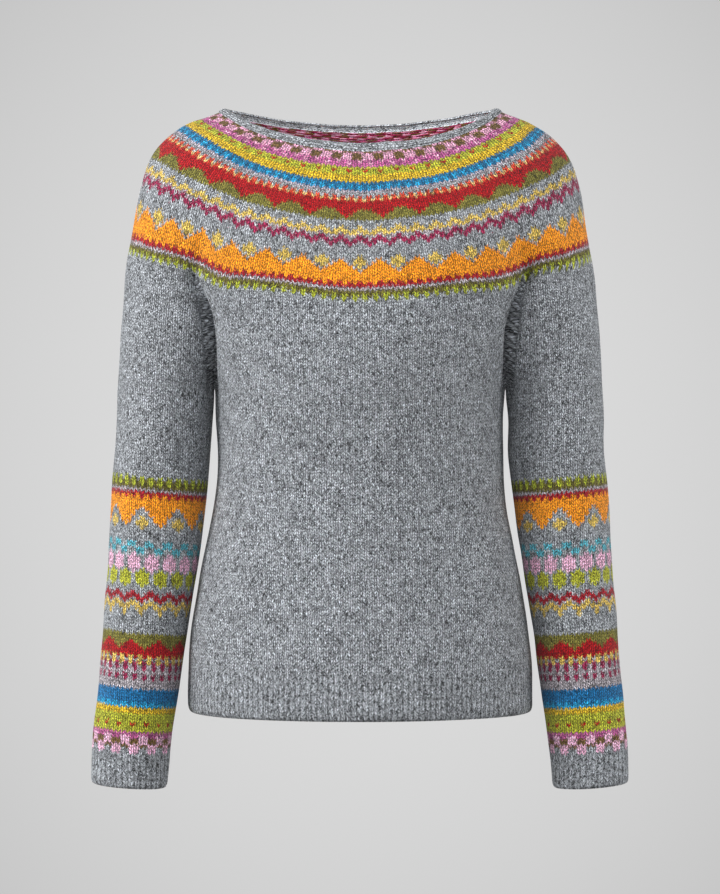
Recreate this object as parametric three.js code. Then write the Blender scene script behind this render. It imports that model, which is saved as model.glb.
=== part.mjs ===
// Boat neck sweater with a round patterned yoke, filled out as if worn, in millimetres.
// +Z is up, the front faces -Y, and +X is the wearer's left. The origin lies on the middle
// plane, level with the tips of the neck opening, where the shoulders carry the sweater.
// Every piece is a knitted wall: a grid of points on the outer face, thickened inwards.
// Grid rows run from top to bottom, and grid columns run anticlockwise seen from above.
import * as THREE from 'three';

// Cloth
const KNIT = 2.4;
const NECKBAND_KNIT = 3.2;
const SEAM_GAP = 0.3;

// Heights where pieces meet
const UNDERARM_HEIGHT = -272;
const RIB_TOP_HEIGHT = -537;
const HEM_HEIGHT = -582;
const CUFF_TOP_HEIGHT = -616;
const CUFF_END_HEIGHT = -649;

// Grid steps: in a quarter of a ring, from the middle to the armhole fold and on to the side
const TORSO_STEPS = 8;
const ARM_STEPS = 8;
const YOKE_STEPS = 12;
const BODY_STEPS = 10;
const SLEEVE_STEPS = 10;
const RIB_STEPS = 2;
const FINE_STEPS = 90;

// The yoke's rings, from the neck edge (share below 0), past the neckband seam (0), to its
// lower edge (1): reach to the side and depth at the middle front and back, each with the
// height of the ring there
const NECK_EDGE = -0.065;
const YOKE_RINGS = [
  { share: -0.065, reach: 127.0, atSide: 0, front: 66, atFront: -41, back: 60, atBack: -11.5 },
  { share: 0, reach: 136.0, atSide: -5.5, front: 73, atFront: -50, back: 65, atBack: -19.5 },
  { share: 0.1, reach: 150.0, atSide: -11, front: 83, atFront: -64, back: 74, atBack: -34 },
  { share: 0.2, reach: 164.0, atSide: -16, front: 92, atFront: -78.5, back: 82, atBack: -49 },
  { share: 0.3, reach: 180.0, atSide: -26, front: 101, atFront: -93, back: 90, atBack: -64 },
  { share: 0.4, reach: 194.5, atSide: -40, front: 108, atFront: -107.5, back: 96, atBack: -79.5 },
  { share: 0.5, reach: 203.5, atSide: -55, front: 114, atFront: -122, back: 101, atBack: -95 },
  { share: 0.6, reach: 208.5, atSide: -70, front: 119, atFront: -136.5, back: 104, atBack: -110 },
  { share: 0.72, reach: 214.0, atSide: -94.5, front: 123.5, atFront: -153.5, back: 106.5, atBack: -128.5 },
  { share: 0.86, reach: 218.9, atSide: -121.5, front: 127, atFront: -173, back: 108, atBack: -149 },
  { share: 1, reach: 222.6, atSide: -145, front: 129, atFront: -192.5, back: 109, atBack: -169 },
];

// The armhole line: it leaves the yoke at a fold beside the chest and meets itself underarm
const FOLD_REACH = 155;
const FOLD_TURN = THREE.MathUtils.degToRad(103);
const FOLD_START = 0.5;
const FOLD_EASE = 1.7;
const FOLD_LIFT = 3.5;
const FOLD_LIFT_WIDTH = 0.16;
const ARMHOLE_ROWS = [0, 0.2, 0.39, 0.57, 0.74, 0.89, 1];
const TORSO_SHARE = 0.56;
const UNDERARM_REACH = 139.8;
const ARMHOLE_TUCK = 6;
const UNDERARM_SAG = 12;

// The body's outline below the armholes, seen from the front, and its depth at the middle
const BODY_SIDES = [
  { height: -272, reach: 139.8 },
  { height: -300, reach: 138.2 },
  { height: -335, reach: 137.0 },
  { height: -378, reach: 139.6 },
  { height: -416, reach: 146.4 },
  { height: -455, reach: 154.4 },
  { height: -493, reach: 161.0 },
  { height: -530, reach: 164.4 },
  { height: -582, reach: 165.3 },
];
const BODY_DEPTHS = [
  { height: -169, front: 127.0, back: 109 },
  { height: -192.5, front: 129.0, back: 109.5 },
  { height: -232, front: 130.5, back: 108.5 },
  { height: -284, front: 126.0, back: 103 },
  { height: -340, front: 117.0, back: 97 },
  { height: -395, front: 113.5, back: 98 },
  { height: -455, front: 115.0, back: 107 },
  { height: -520, front: 119.0, back: 115 },
  { height: -582, front: 120.0, back: 116 },
];

// The sleeve's outline seen from the front (outer, inner) and from the side (front, back)
const SLEEVE_TILT = 4.6;
const SLEEVE_LEVELS = [
  { height: -145, outer: 222.6, inner: 139.8, front: -63.6, back: 58.5 },
  { height: -175, outer: 226.4, inner: 139.8, front: -62.6, back: 58.5 },
  { height: -205, outer: 229.2, inner: 139.8, front: -61.0, back: 58.5 },
  { height: -240, outer: 231.4, inner: 139.8, front: -59.0, back: 58 },
  { height: -272, outer: 232.8, inner: 139.8, front: -57.4, back: 57.4 },
  { height: -300, outer: 233.9, inner: 142.2, front: -56, back: 57 },
  { height: -335, outer: 235.4, inner: 143.8, front: -53, back: 56 },
  { height: -378, outer: 238.9, inner: 148.4, front: -49, back: 53 },
  { height: -435, outer: 241.9, inner: 156.1, front: -46, back: 46 },
  { height: -474, outer: 244.6, inner: 161.9, front: -46, back: 40 },
  { height: -522, outer: 248.4, inner: 169.4, front: -47, back: 32 },
  { height: -570, outer: 252.0, inner: 175.4, front: -49, back: 24 },
  { height: -611, outer: 255.5, inner: 180.8, front: -50, back: 18 },
  { height: -649, outer: 257.0, inner: 184.6, front: -50, back: 14 },
];

// Reads a table at a place along its first column, on a smooth curve through its rows.
function readTable(table, place) {
  const along = Object.keys(table[0])[0];
  const last = table.length - 1;
  const rising = table[last][along] > table[0][along];
  const found = table.findIndex((row) => (rising ? row[along] >= place : row[along] <= place));
  const next = found < 0 ? last : Math.max(found, 1);
  const [a, b] = [table[next - 1], table[next]];
  const [before, after] = [table[Math.max(next - 2, 0)], table[Math.min(next + 1, last)]];
  const span = b[along] - a[along];
  const t = (place - a[along]) / span;
  const values = {};
  for (const name of Object.keys(a)) {
    const slopeA = ((b[name] - before[name]) / (b[along] - before[along])) * span;
    const slopeB = ((after[name] - a[name]) / (after[along] - a[along])) * span;
    values[name] = (2 * t ** 3 - 3 * t ** 2 + 1) * a[name] + (t ** 3 - 2 * t ** 2 + t) * slopeA
      + (3 * t ** 2 - 2 * t ** 3) * b[name] + (t ** 3 - t ** 2) * slopeB;
  }
  return values;
}

// Points at the given shares of a line's length.
function pointsAlong(line, shares) {
  const lengths = [0];
  for (let i = 1; i < line.length; i++) {
    lengths.push(lengths[i - 1] + line[i].distanceTo(line[i - 1]));
  }
  return shares.map((share) => {
    const goal = share * lengths[lengths.length - 1];
    const reached = lengths.findIndex((length) => length >= goal);
    const next = reached < 0 ? line.length - 1 : Math.max(1, reached);
    const part = (goal - lengths[next - 1]) / (lengths[next] - lengths[next - 1]);
    return line[next - 1].clone().lerp(line[next], part);
  });
}

const mix = THREE.MathUtils.lerp;
const QUARTER = Math.PI / 2;
const evenShares = (steps) => Array.from({ length: steps + 1 }, (_, i) => i / steps);
const between = (from, to, steps) => evenShares(steps).map((share) => mix(from, to, share));

// The same row on the other side of the middle plane, still running anticlockwise.
function mirrored(row) {
  return row.map((point) => new THREE.Vector3(-point.x, point.y, point.z)).reverse();
}

// The lift of a row beside the armhole fold: down on the chest side, up on the sleeve side.
function foldLift(sharePastFold) {
  const place = sharePastFold / FOLD_LIFT_WIDTH;
  return FOLD_LIFT * place * Math.exp((1 - place ** 2) / 2);
}

// Half a row of the body, from the middle front or back out to its end, on an ellipse.
function bodyHalfRow(end, depth, middleHeight, lift) {
  const turn = Math.acos(end.y / depth);
  const line = between(0, turn, FINE_STEPS).map((angle) => {
    const outwards = Math.sin(angle) / Math.sin(turn);
    const height = mix(middleHeight, end.z, outwards ** 2);
    return new THREE.Vector3(end.x * outwards, depth * Math.cos(angle), height);
  });
  const points = pointsAlong(line, evenShares(TORSO_STEPS));
  points.forEach((point, i) => {
    point.z += lift * foldLift(i / TORSO_STEPS - 1);
  });
  return points;
}

// A quarter of a sleeve row, from the armhole line or the inner seam out to the side.
function sleeveQuarterRow(end, outer, outerHeight, lift) {
  const reach = (outer - end.x) / (1 - Math.cos(end.turn));
  const line = between(end.turn, 0, FINE_STEPS).map((angle) => {
    const x = outer - reach * (1 - Math.cos(angle));
    const inwards = (outer ** 2 - x ** 2) / (outer ** 2 - end.x ** 2);
    const y = end.middleY + end.halfDepth * Math.sin(angle);
    return new THREE.Vector3(x, y, mix(outerHeight, end.z, inwards));
  });
  const points = pointsAlong(line, evenShares(ARM_STEPS));
  points.forEach((point, i) => {
    point.z += lift * foldLift(i / ARM_STEPS);
  });
  return points;
}

// A quarter of a ring beside the armhole, from the yoke (fall 0) down to the underarm (fall 1):
// the body's half row out to the armhole line, then the sleeve's quarter row.
function splitQuarter(fall, face) {
  const ring = readTable(YOKE_RINGS, 1);
  const drop = Math.asin(fall) / QUARTER;
  const yokeMiddle = face < 0 ? ring.atFront : ring.atBack;
  const outerHeight = mix(ring.atSide, UNDERARM_HEIGHT + SLEEVE_TILT, fall);
  const level = readTable(SLEEVE_LEVELS, outerHeight);
  const turn = mix(FOLD_TURN, Math.PI, drop);
  const halfDepth = face < 0 ? level.front : level.back;
  const foldHeight = mix(yokeMiddle, ring.atSide, (FOLD_REACH / ring.reach) ** 2);
  const end = {
    x: mix(UNDERARM_REACH, FOLD_REACH, (1 - drop) ** ARMHOLE_TUCK),
    y: halfDepth * Math.sin(turn),
    z: mix(foldHeight, UNDERARM_HEIGHT, fall),
  };
  const middleHeight = mix(yokeMiddle, UNDERARM_HEIGHT - UNDERARM_SAG, fall);
  const depths = readTable(BODY_DEPTHS, middleHeight);
  const lift = (1 - drop) ** 2;
  const body = bodyHalfRow(end, face < 0 ? -depths.front : depths.back, middleHeight, lift);

  const armEnd = { ...end, turn, halfDepth, middleY: 0 };
  return { body, sleeve: sleeveQuarterRow(armEnd, level.outer, outerHeight, lift) };
}

// A quarter of a plain yoke ring, before the armhole folds are pressed into it.
function plainQuarter(share, face) {
  const ring = readTable(YOKE_RINGS, share);
  const depth = face < 0 ? -ring.front : ring.back;
  const middleHeight = face < 0 ? ring.atFront : ring.atBack;
  const line = between(0, QUARTER, FINE_STEPS).map((angle) => new THREE.Vector3(
    ring.reach * Math.sin(angle),
    depth * Math.cos(angle),
    mix(ring.atSide, middleHeight, Math.cos(angle) ** 2),
  ));
  const arm = between(TORSO_SHARE, 1, ARM_STEPS).slice(1);
  return pointsAlong(line, [...between(0, TORSO_SHARE, TORSO_STEPS), ...arm]);
}

// A whole ring from its front and back quarters, from the middle front round by +X.
function wholeRing(quarter) {
  const half = [...quarter(-1), ...quarter(1).reverse().slice(1)];
  return [...half, ...mirrored(half).slice(1, -1)];
}

function splitRing(fall) {
  return wholeRing((face) => {
    const { body, sleeve } = splitQuarter(fall, face);
    return [...body, ...sleeve.slice(1)];
  });
}

// A yoke ring. Its lowest ring is the top of the body and the sleeves, folds and all.
function yokeRing(share) {
  const press = Math.max(0, (share - FOLD_START) / (1 - FOLD_START)) ** FOLD_EASE;
  const [plain, plainLowest] = [share, 1].map((at) => wholeRing((face) => plainQuarter(at, face)));
  const lowest = splitRing(0);
  return plain.map((point, i) => (
    point.addScaledVector(lowest[i], press).addScaledVector(plainLowest[i], -press)));
}

// A body row below the armholes, from side seam to side seam.
function bodyRow(height, face) {
  const hemShare = (UNDERARM_HEIGHT - height) / (UNDERARM_HEIGHT - HEM_HEIGHT);
  const middleHeight = height - UNDERARM_SAG * (1 - hemShare) ** 2;
  const depths = readTable(BODY_DEPTHS, middleHeight);
  const end = { x: readTable(BODY_SIDES, height).reach, y: 0, z: height };
  const half = bodyHalfRow(end, face < 0 ? -depths.front : depths.back, middleHeight, 0);
  if (face < 0) return [...mirrored(half).slice(0, -1), ...half];
  return [...half.reverse(), ...mirrored(half).slice(1)];
}

// A sleeve row below the underarm, opened at its inner seam.
function sleeveRow(height) {
  const level = readTable(SLEEVE_LEVELS, height);
  const middleY = (level.front + level.back) / 2;
  const quarter = (face) => {
    const halfDepth = (face * (level.back - level.front)) / 2;
    const end = { x: level.inner, z: height - SLEEVE_TILT, turn: Math.PI, halfDepth, middleY };
    return sleeveQuarterRow(end, level.outer, height + SLEEVE_TILT, 0);
  };
  return [...quarter(-1), ...quarter(1).reverse().slice(1)];
}

// Rows of a grid are kept with a neighbour's point before their first and after their last
// point. A ring's row goes on into itself, and one between two seams that lie in the plane
// between front and back goes on as its own mirror image.
const besideSelf = (row) => [row.at(-1), ...row, row[0]];

function besideSeams(row) {
  const image = (inner, seam) => new THREE.Vector3(inner.x, 2 * seam.y - inner.y, inner.z);
  return [image(row[1], row[0]), ...row, image(row.at(-2), row.at(-1))];
}

// Draws the borders in by half a seam gap. A ring has no side borders.
function trimmed(rows, ring) {
  const inset = (point, inner) => point.clone().add(inner.clone().sub(point).setLength(SEAM_GAP / 2));
  const last = rows.length - 1;
  return rows.map((row, r) => {
    const moved = row.map((point, c) => {
      if (r === 0) return inset(point, rows[1][c]);
      return r === last ? inset(point, rows[last - 1][c]) : point;
    });
    if (ring) return moved;
    return [inset(moved[0], moved[1]), ...moved.slice(1, -1), inset(moved.at(-1), moved.at(-2))];
  });
}

// The directions out of the cloth, from each point's neighbours above, below and beside it.
function outwards(grid, above, below) {
  const all = [above, ...grid, below];
  return grid.map((row, r) => row.slice(1, -1).map((point, c) => {
    const down = all[r + 2][c + 1].clone().sub(all[r][c + 1]);
    return down.cross(row[c + 2].clone().sub(row[c])).normalize();
  }));
}

// A closed wall of knitted cloth behind a grid of points. The rows above and below are its
// neighbours', so that two walls that meet are cut off square to the same line.
function clothWall(grid, thickness, { above = grid[0], below = grid.at(-1), ring = false }) {
  const rows = trimmed(grid.map((row) => row.slice(1, -1)), ring);
  const wide = rows[0].length;
  const directions = outwards(grid, above, below);
  const outer = rows.flat();
  const inner = rows.flatMap((row, r) => row.map((point, c) => (
    point.clone().addScaledVector(directions[r][c], -thickness))));
  const at = (r, c) => r * wide + (c % wide);
  const under = (r, c) => outer.length + at(r, c);
  const faces = [];
  const quad = (a, b, c, d) => faces.push(a, b, c, a, c, d);
  const cells = ring ? wide : wide - 1;
  const last = rows.length - 1;
  for (let c = 0; c < cells; c++) {
    for (let r = 0; r < last; r++) {
      quad(at(r, c), at(r + 1, c), at(r + 1, c + 1), at(r, c + 1));
      quad(under(r, c), under(r, c + 1), under(r + 1, c + 1), under(r + 1, c));
    }
    quad(at(0, c), at(0, c + 1), under(0, c + 1), under(0, c));
    quad(at(last, c), under(last, c), under(last, c + 1), at(last, c + 1));
  }
  for (let r = 0; r < last && !ring; r++) {
    quad(at(r, 0), under(r, 0), under(r + 1, 0), at(r + 1, 0));
    quad(at(r, cells), at(r + 1, cells), under(r + 1, cells), under(r, cells));
  }
  const geometry = new THREE.BufferGeometry().setFromPoints([...outer, ...inner]);
  geometry.setIndex(faces);
  geometry.computeVertexNormals();
  return geometry;
}

const heather = new THREE.MeshStandardMaterial({ color: 0x90959a, roughness: 0.95, metalness: 0 });
const patterned = new THREE.MeshStandardMaterial({ color: 0xc06a3a, roughness: 0.95, metalness: 0 });
const ribbed = new THREE.MeshStandardMaterial({ color: 0x84898e, roughness: 0.95, metalness: 0 });

const sweater = new THREE.Group();

function addPiece(name, geometry, material) {
  const piece = new THREE.Mesh(geometry, material);
  piece.name = name;
  sweater.add(piece);
}

// A piece and the rib that is knitted on at its lower end share one grid, cut at the rib.
function addWithRib([name, ribName], rows, ribRows, above, material) {
  addPiece(name, clothWall(rows, KNIT, { above, below: ribRows[1] }), material);
  addPiece(ribName, clothWall(ribRows, KNIT, { above: rows.at(-2) }), ribbed);
}

// Neckband and yoke, knitted in the round
const neckRings = between(NECK_EDGE, 0, RIB_STEPS).map(yokeRing);
const yokeRings = between(0, 1, YOKE_STEPS).map(yokeRing);
const splitRings = ARMHOLE_ROWS.map(splitRing);
const besideNeckband = { below: besideSelf(yokeRings[1]), ring: true };
const besideYoke = {
  above: besideSelf(neckRings.at(-2)),
  below: besideSelf(splitRings[1]),
  ring: true,
};
addPiece('neckband', clothWall(neckRings.map(besideSelf), NECKBAND_KNIT, besideNeckband), ribbed);
addPiece('yoke', clothWall(yokeRings.map(besideSelf), KNIT, besideYoke), patterned);

// The stretch of a ring that belongs to one piece, with its neighbours. The armhole is
// closed at the underarm, and there the piece has only its own seams beside it.
const stretch = (ring, start, steps) => (
  Array.from({ length: steps + 3 }, (_, i) => ring.at((start - 1 + i) % ring.length)));
const TORSO_WIDE = 2 * TORSO_STEPS;
const ARM_WIDE = 2 * ARM_STEPS;

function besideArmhole(start, steps) {
  const rows = splitRings.map((ring) => stretch(ring, start, steps));
  return [...rows.slice(0, -1), besideSeams(rows.at(-1).slice(1, -1))];
}

// Front and back, each with its hem rib
for (const [name, face, start] of [['front', -1, -TORSO_STEPS], ['back', 1, TORSO_STEPS + ARM_WIDE]]) {
  const rowAt = (height) => besideSeams(bodyRow(height, face));
  const below = between(UNDERARM_HEIGHT, RIB_TOP_HEIGHT, BODY_STEPS).slice(1);
  const rows = [...besideArmhole(start, TORSO_WIDE), ...below.map(rowAt)];
  const ribRows = between(RIB_TOP_HEIGHT, HEM_HEIGHT, RIB_STEPS).map(rowAt);
  addWithRib([name, `hem_${name}`], rows, ribRows, stretch(yokeRings.at(-2), start, TORSO_WIDE), heather);
}

// Sleeves, each with its cuff. Under the arm the sleeve's inner seam is clear of the body's.
const unturned = (row) => row;
for (const [side, sign, turned, start] of [
  ['left', 1, unturned, TORSO_STEPS],
  ['right', -1, mirrored, TORSO_STEPS + ARM_WIDE + TORSO_WIDE],
]) {
  const beside = besideArmhole(start, ARM_WIDE).map((row, r) => row.map((point, c) => {
    const onBorder = c === 1 || c === row.length - 2;
    return onBorder ? point.clone().setX(point.x + sign * SEAM_GAP * ARMHOLE_ROWS[r]) : point;
  }));
  const rowAt = (height) => besideSeams(turned(sleeveRow(height)));
  const below = between(UNDERARM_HEIGHT, CUFF_TOP_HEIGHT, SLEEVE_STEPS).slice(1);
  const rows = [...beside, ...below.map(rowAt)];
  const ribRows = between(CUFF_TOP_HEIGHT, CUFF_END_HEIGHT, RIB_STEPS).map(rowAt);
  const above = stretch(yokeRings.at(-2), start, ARM_WIDE);
  addWithRib([`sleeve_${side}`, `cuff_${side}`], rows, ribRows, above, patterned);
}

export default sweater;
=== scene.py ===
"""A boat neck sweater with a round patterned yoke, filled out as if it were worn.

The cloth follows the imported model: every length in the tables is in millimetres, with +Z up
and the front facing -Y, and becomes metres when a mesh is made.
"""
from functools import partial, partialmethod
from math import acos, asin, cos, pi, radians, sin

import bpy
import numpy as np
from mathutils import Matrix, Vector


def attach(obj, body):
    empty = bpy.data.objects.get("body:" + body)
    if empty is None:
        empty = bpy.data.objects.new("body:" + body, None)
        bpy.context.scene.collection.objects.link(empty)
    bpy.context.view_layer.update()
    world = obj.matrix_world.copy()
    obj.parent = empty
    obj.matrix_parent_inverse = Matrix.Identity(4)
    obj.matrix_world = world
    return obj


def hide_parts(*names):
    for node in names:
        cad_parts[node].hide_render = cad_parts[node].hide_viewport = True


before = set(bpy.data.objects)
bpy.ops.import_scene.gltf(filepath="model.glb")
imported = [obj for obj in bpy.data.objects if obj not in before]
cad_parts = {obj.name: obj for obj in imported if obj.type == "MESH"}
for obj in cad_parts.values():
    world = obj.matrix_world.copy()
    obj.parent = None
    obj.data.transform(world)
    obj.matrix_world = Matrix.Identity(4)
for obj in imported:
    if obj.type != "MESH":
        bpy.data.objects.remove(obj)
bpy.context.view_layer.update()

# ---- Yoke -----------------------------------------------------------------------------
# One round piece of stranded knitting in wool, worked from the neckband down, with motifs
# in two or three yarns a row. Its last row runs on into the front, back and both sleeves.

MM = 0.001
# The knitting's thickness, the height of a row, and the gap between neighbours at a seam
KNIT = 2.4
ROW_HEIGHT = 2.93
SEAM_GAP = 0.04
TORSO_STEPS, ARM_STEPS, FINE_STEPS = 62, 44, 400
QUARTER = pi / 2


def table(columns, *rows):
    """A table with named columns."""
    return dict(zip(columns.split(), np.array(rows, float).T))


def read_table(from_table, place):
    """The values at a place along a table's first column, on a smooth curve through its rows."""
    values = np.array(list(from_table.values()))
    values = values[:, np.argsort(values[0])]
    along = values[0]
    last = len(along) - 1
    i = int(np.clip(np.searchsorted(along, place) - 1, 0, last - 1))
    before, after = max(i - 1, 0), min(i + 2, last)
    span = along[i + 1] - along[i]
    t = (place - along[i]) / span
    slope_a = (values[:, i + 1] - values[:, before]) / (along[i + 1] - along[before]) * span
    slope_b = (values[:, after] - values[:, i]) / (along[after] - along[i]) * span
    found = ((2 * t**3 - 3 * t**2 + 1) * values[:, i] + (t**3 - 2 * t**2 + t) * slope_a
             + (3 * t**2 - 2 * t**3) * values[:, i + 1] + (t**3 - t**2) * slope_b)
    return dict(zip(from_table, found))


# The rings of the yoke: reach to the side, and depth at the middle front and back, each
# with the height of the ring there. Share 0 is at the neckband, share 1 at the lower edge.
YOKE_RINGS = table(
    "share reach at_side front at_front back at_back",
    (-0.065, 127.0, 0, 66, -41, 60, -11.5),
    (0, 136.0, -5.5, 73, -50, 65, -19.5),
    (0.1, 150.0, -11, 83, -64, 74, -34),
    (0.2, 164.0, -16, 92, -78.5, 82, -49),
    (0.3, 180.0, -26, 101, -93, 90, -64),
    (0.4, 194.5, -40, 108, -107.5, 96, -79.5),
    (0.5, 203.5, -55, 114, -122, 101, -95),
    (0.6, 208.5, -70, 119, -136.5, 104, -110),
    (0.72, 214.0, -94.5, 123.5, -153.5, 106.5, -128.5),
    (0.86, 218.9, -121.5, 127, -173, 108, -149),
    (1, 222.6, -145, 129, -192.5, 109, -169),
)
FOLD_REACH, FOLD_TURN = 155, radians(103)
FOLD_START, FOLD_EASE, FOLD_LIFT, FOLD_LIFT_WIDTH = 0.5, 1.7, 3.5, 0.16
TORSO_SHARE = 0.56
UNDERARM_HEIGHT, UNDERARM_REACH, UNDERARM_SAG = -272, 139.8, 12
ARMHOLE_TUCK = 6
SLEEVE_TILT = 4.6

BODY_DEPTHS = table(
    "height front back",
    (-169, 127.0, 109), (-192.5, 129.0, 109.5), (-232, 130.5, 108.5),
    (-284, 126.0, 103), (-340, 117.0, 97), (-395, 113.5, 98),
    (-455, 115.0, 107), (-520, 119.0, 115), (-582, 120.0, 116),
)
SLEEVE_LEVELS = table(
    "height outer inner front back",
    (-145, 222.6, 139.8, -63.6, 58.5), (-175, 226.4, 139.8, -62.6, 58.5),
    (-205, 229.2, 139.8, -61.0, 58.5), (-240, 231.4, 139.8, -59.0, 58),
    (-272, 232.8, 139.8, -57.4, 57.4), (-300, 233.9, 142.2, -56, 57),
    (-335, 235.4, 143.8, -53, 56), (-378, 238.9, 148.4, -49, 53),
    (-435, 241.9, 156.1, -46, 46), (-474, 244.6, 161.9, -46, 40),
    (-522, 248.4, 169.4, -47, 32), (-570, 252.0, 175.4, -49, 24),
    (-611, 255.5, 180.8, -50, 18), (-649, 257.0, 184.6, -50, 14),
)


# The table column of each face, by the sign of its Y
FACES = {-1: "front", 1: "back"}


def mix(a, b, share):
    """The value a share of the way from a to b."""
    return a + (b - a) * share


def placed(name, data):
    """A new object in the scene."""
    made = bpy.data.objects.new(name, data)
    bpy.context.scene.collection.objects.link(made)
    return made


def step_lengths(points, axis=0):
    """The lengths of the steps between points, down the rows of a grid or along them."""
    return np.linalg.norm(np.diff(points, axis=axis), axis=-1)


def unit(vectors):
    """The vectors, each one long."""
    return vectors / np.linalg.norm(vectors, axis=-1, keepdims=True)


def running(steps):
    """The length from the start of a line to each of its points, from its steps."""
    return np.concatenate((steps[..., :1] * 0, np.cumsum(steps, axis=-1)), axis=-1)


def points_along(line, shares):
    """Points at the given shares of a line's length."""
    lengths = running(step_lengths(line))
    goals = np.asarray(shares) * lengths[-1]
    return np.stack([np.interp(goals, lengths, axis) for axis in line.T], axis=1)


def mirrored(row):
    """The same row on the other side of the middle plane, still running anticlockwise."""
    return row[::-1] * (-1, 1, 1)


def fold_lift(past_fold):
    """The lift beside the armhole fold: down on the chest side, up on the sleeve side."""
    place = past_fold / FOLD_LIFT_WIDTH
    return FOLD_LIFT * place * np.exp((1 - place**2) / 2)


def body_half_row(end, depth, middle_height, lift):
    """Half a row of the body, from the middle front or back out to its end."""
    turn = acos(end[1] / depth)
    angles = np.linspace(0, turn, FINE_STEPS + 1)
    outwards = np.sin(angles) / sin(turn)
    line = np.stack([end[0] * outwards, depth * np.cos(angles),
                     mix(middle_height, end[2], outwards**2)], axis=1)
    shares = np.linspace(0, 1, TORSO_STEPS + 1)
    points = points_along(line, shares)
    points[:, 2] += lift * fold_lift(shares - 1)
    return points


def sleeve_quarter_row(end, turn, half_depth, middle_y, outer, outer_height, lift):
    """A quarter of a sleeve row, from the armhole line or the inner seam out to the side."""
    reach = (outer - end[0]) / (1 - cos(turn))
    angles = np.linspace(turn, 0, FINE_STEPS + 1)
    x = outer - reach * (1 - np.cos(angles))
    inwards = (outer**2 - x**2) / (outer**2 - end[0]**2)
    line = np.stack([x, middle_y + half_depth * np.sin(angles),
                     mix(outer_height, end[2], inwards)], axis=1)
    shares = np.linspace(0, 1, ARM_STEPS + 1)
    points = points_along(line, shares)
    points[:, 2] += lift * fold_lift(shares)
    return points


def split_quarter(fall, face):
    """A quarter of a ring beside the armhole: the body's half row, then the sleeve's."""
    ring = read_table(YOKE_RINGS, 1)
    drop = asin(fall) / QUARTER
    yoke_middle = ring["at_" + FACES[face]]
    outer_height = mix(ring["at_side"], UNDERARM_HEIGHT + SLEEVE_TILT, fall)
    level = read_table(SLEEVE_LEVELS, outer_height)
    turn = mix(FOLD_TURN, pi, drop)
    half_depth = level[FACES[face]]
    fold_height = mix(yoke_middle, ring["at_side"], (FOLD_REACH / ring["reach"])**2)
    end = (mix(UNDERARM_REACH, FOLD_REACH, (1 - drop)**ARMHOLE_TUCK), half_depth * sin(turn),
           mix(fold_height, UNDERARM_HEIGHT, fall))
    middle_height = mix(yoke_middle, UNDERARM_HEIGHT - UNDERARM_SAG, fall)
    depth = read_table(BODY_DEPTHS, middle_height)[FACES[face]]
    lift = (1 - drop)**2
    body = body_half_row(end, face * depth, middle_height, lift)
    sleeve = sleeve_quarter_row(end, turn, half_depth, 0, level["outer"], outer_height, lift)
    return np.concatenate((body, sleeve[1:]))


def plain_quarter(share, face):
    """A quarter of a yoke ring, before the armhole folds are pressed into it."""
    ring = read_table(YOKE_RINGS, share)
    depth = face * ring[FACES[face]]
    middle = ring["at_" + FACES[face]]
    angles = np.linspace(0, QUARTER, FINE_STEPS + 1)
    line = np.stack([ring["reach"] * np.sin(angles), depth * np.cos(angles),
                     mix(ring["at_side"], middle, np.cos(angles)**2)], axis=1)
    torso = np.linspace(0, TORSO_SHARE, TORSO_STEPS + 1)
    arm = np.linspace(TORSO_SHARE, 1, ARM_STEPS + 1)[1:]
    return points_along(line, np.concatenate((torso, arm)))


def whole_ring(quarter, place):
    """A ring from its front and back quarters, from the middle front round by +X."""
    half = np.concatenate((quarter(place, -1), quarter(place, 1)[::-1][1:]))
    return np.concatenate((half, mirrored(half)[1:-1]))


def yoke_ring(share):
    """A yoke ring. Its lowest ring is the top of the body and sleeves, folds and all."""
    press = max(0, (share - FOLD_START) / (1 - FOLD_START))**FOLD_EASE
    pressed = whole_ring(split_quarter, 0) - whole_ring(plain_quarter, 1)
    return whole_ring(plain_quarter, share) + press * pressed


def other_side(line):
    """A line of points on the other side of the middle plane."""
    return [(-x, y, z) for x, y, z in line]


# Soft creases that the cloth keeps where it was folded and where it turns over the arm:
# a trough (or a ridge, where the depth is below 0) along a line of points on the cloth.
ARMHOLE_FOLD = [(161, -63, -148), (155, -62, -175), (147, -58, -195), (142, -52, -217)]
UNDERARM_FOLD = [(147, -58, -195), (142, -52, -214), (140, -38, -244), (139, -15, -278)]
BACK_FOLD = [(156, 56, -165), (146, 50, -205), (140, 38, -240)]
CREASES = [
    # points, half width, depth
    (other_side(ARMHOLE_FOLD), 4.5, 6.5), (other_side(UNDERARM_FOLD), 5.5, 11.0),
    (ARMHOLE_FOLD, 4.5, 8.0), (UNDERARM_FOLD, 5.5, 12.0),
    (other_side(BACK_FOLD), 8, 5.0), (BACK_FOLD, 8, 5.0),
    ([(-186, -52, -176), (-163, -44, -350)], 9, 2.6),
    ([(-168, -50, -205), (-150, -40, -300)], 7, -1.2),
    ([(-206, -46, -300), (-176, -42, -392)], 12, 1.6),
    ([(178, -52, -180), (163, -46, -330)], 10, 2.2),
    ([(205, -48, -250), (168, -42, -372)], 11, 1.8),
    ([(196, 50, -190), (160, 44, -330)], 10, 2.4),
    ([(-200, 50, -210), (-162, 42, -340)], 10, 2.2),
    ([(-128, -92, -236), (-60, -118, -300)], 14, 1.0),
    ([(126, -92, -232), (70, -116, -318)], 13, 1.0),
    ([(-120, 82, -240), (-40, 98, -330)], 14, 1.2),
    ([(118, 82, -236), (48, 98, -300)], 13, 1.2),
    ([(-150, -40, -470), (-90, -100, -505)], 13, 1.0),
    ([(148, -42, -455), (96, -98, -490)], 12, 1.0),
]
CREASE_START, CREASE_END = 0.12, 0.88
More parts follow.
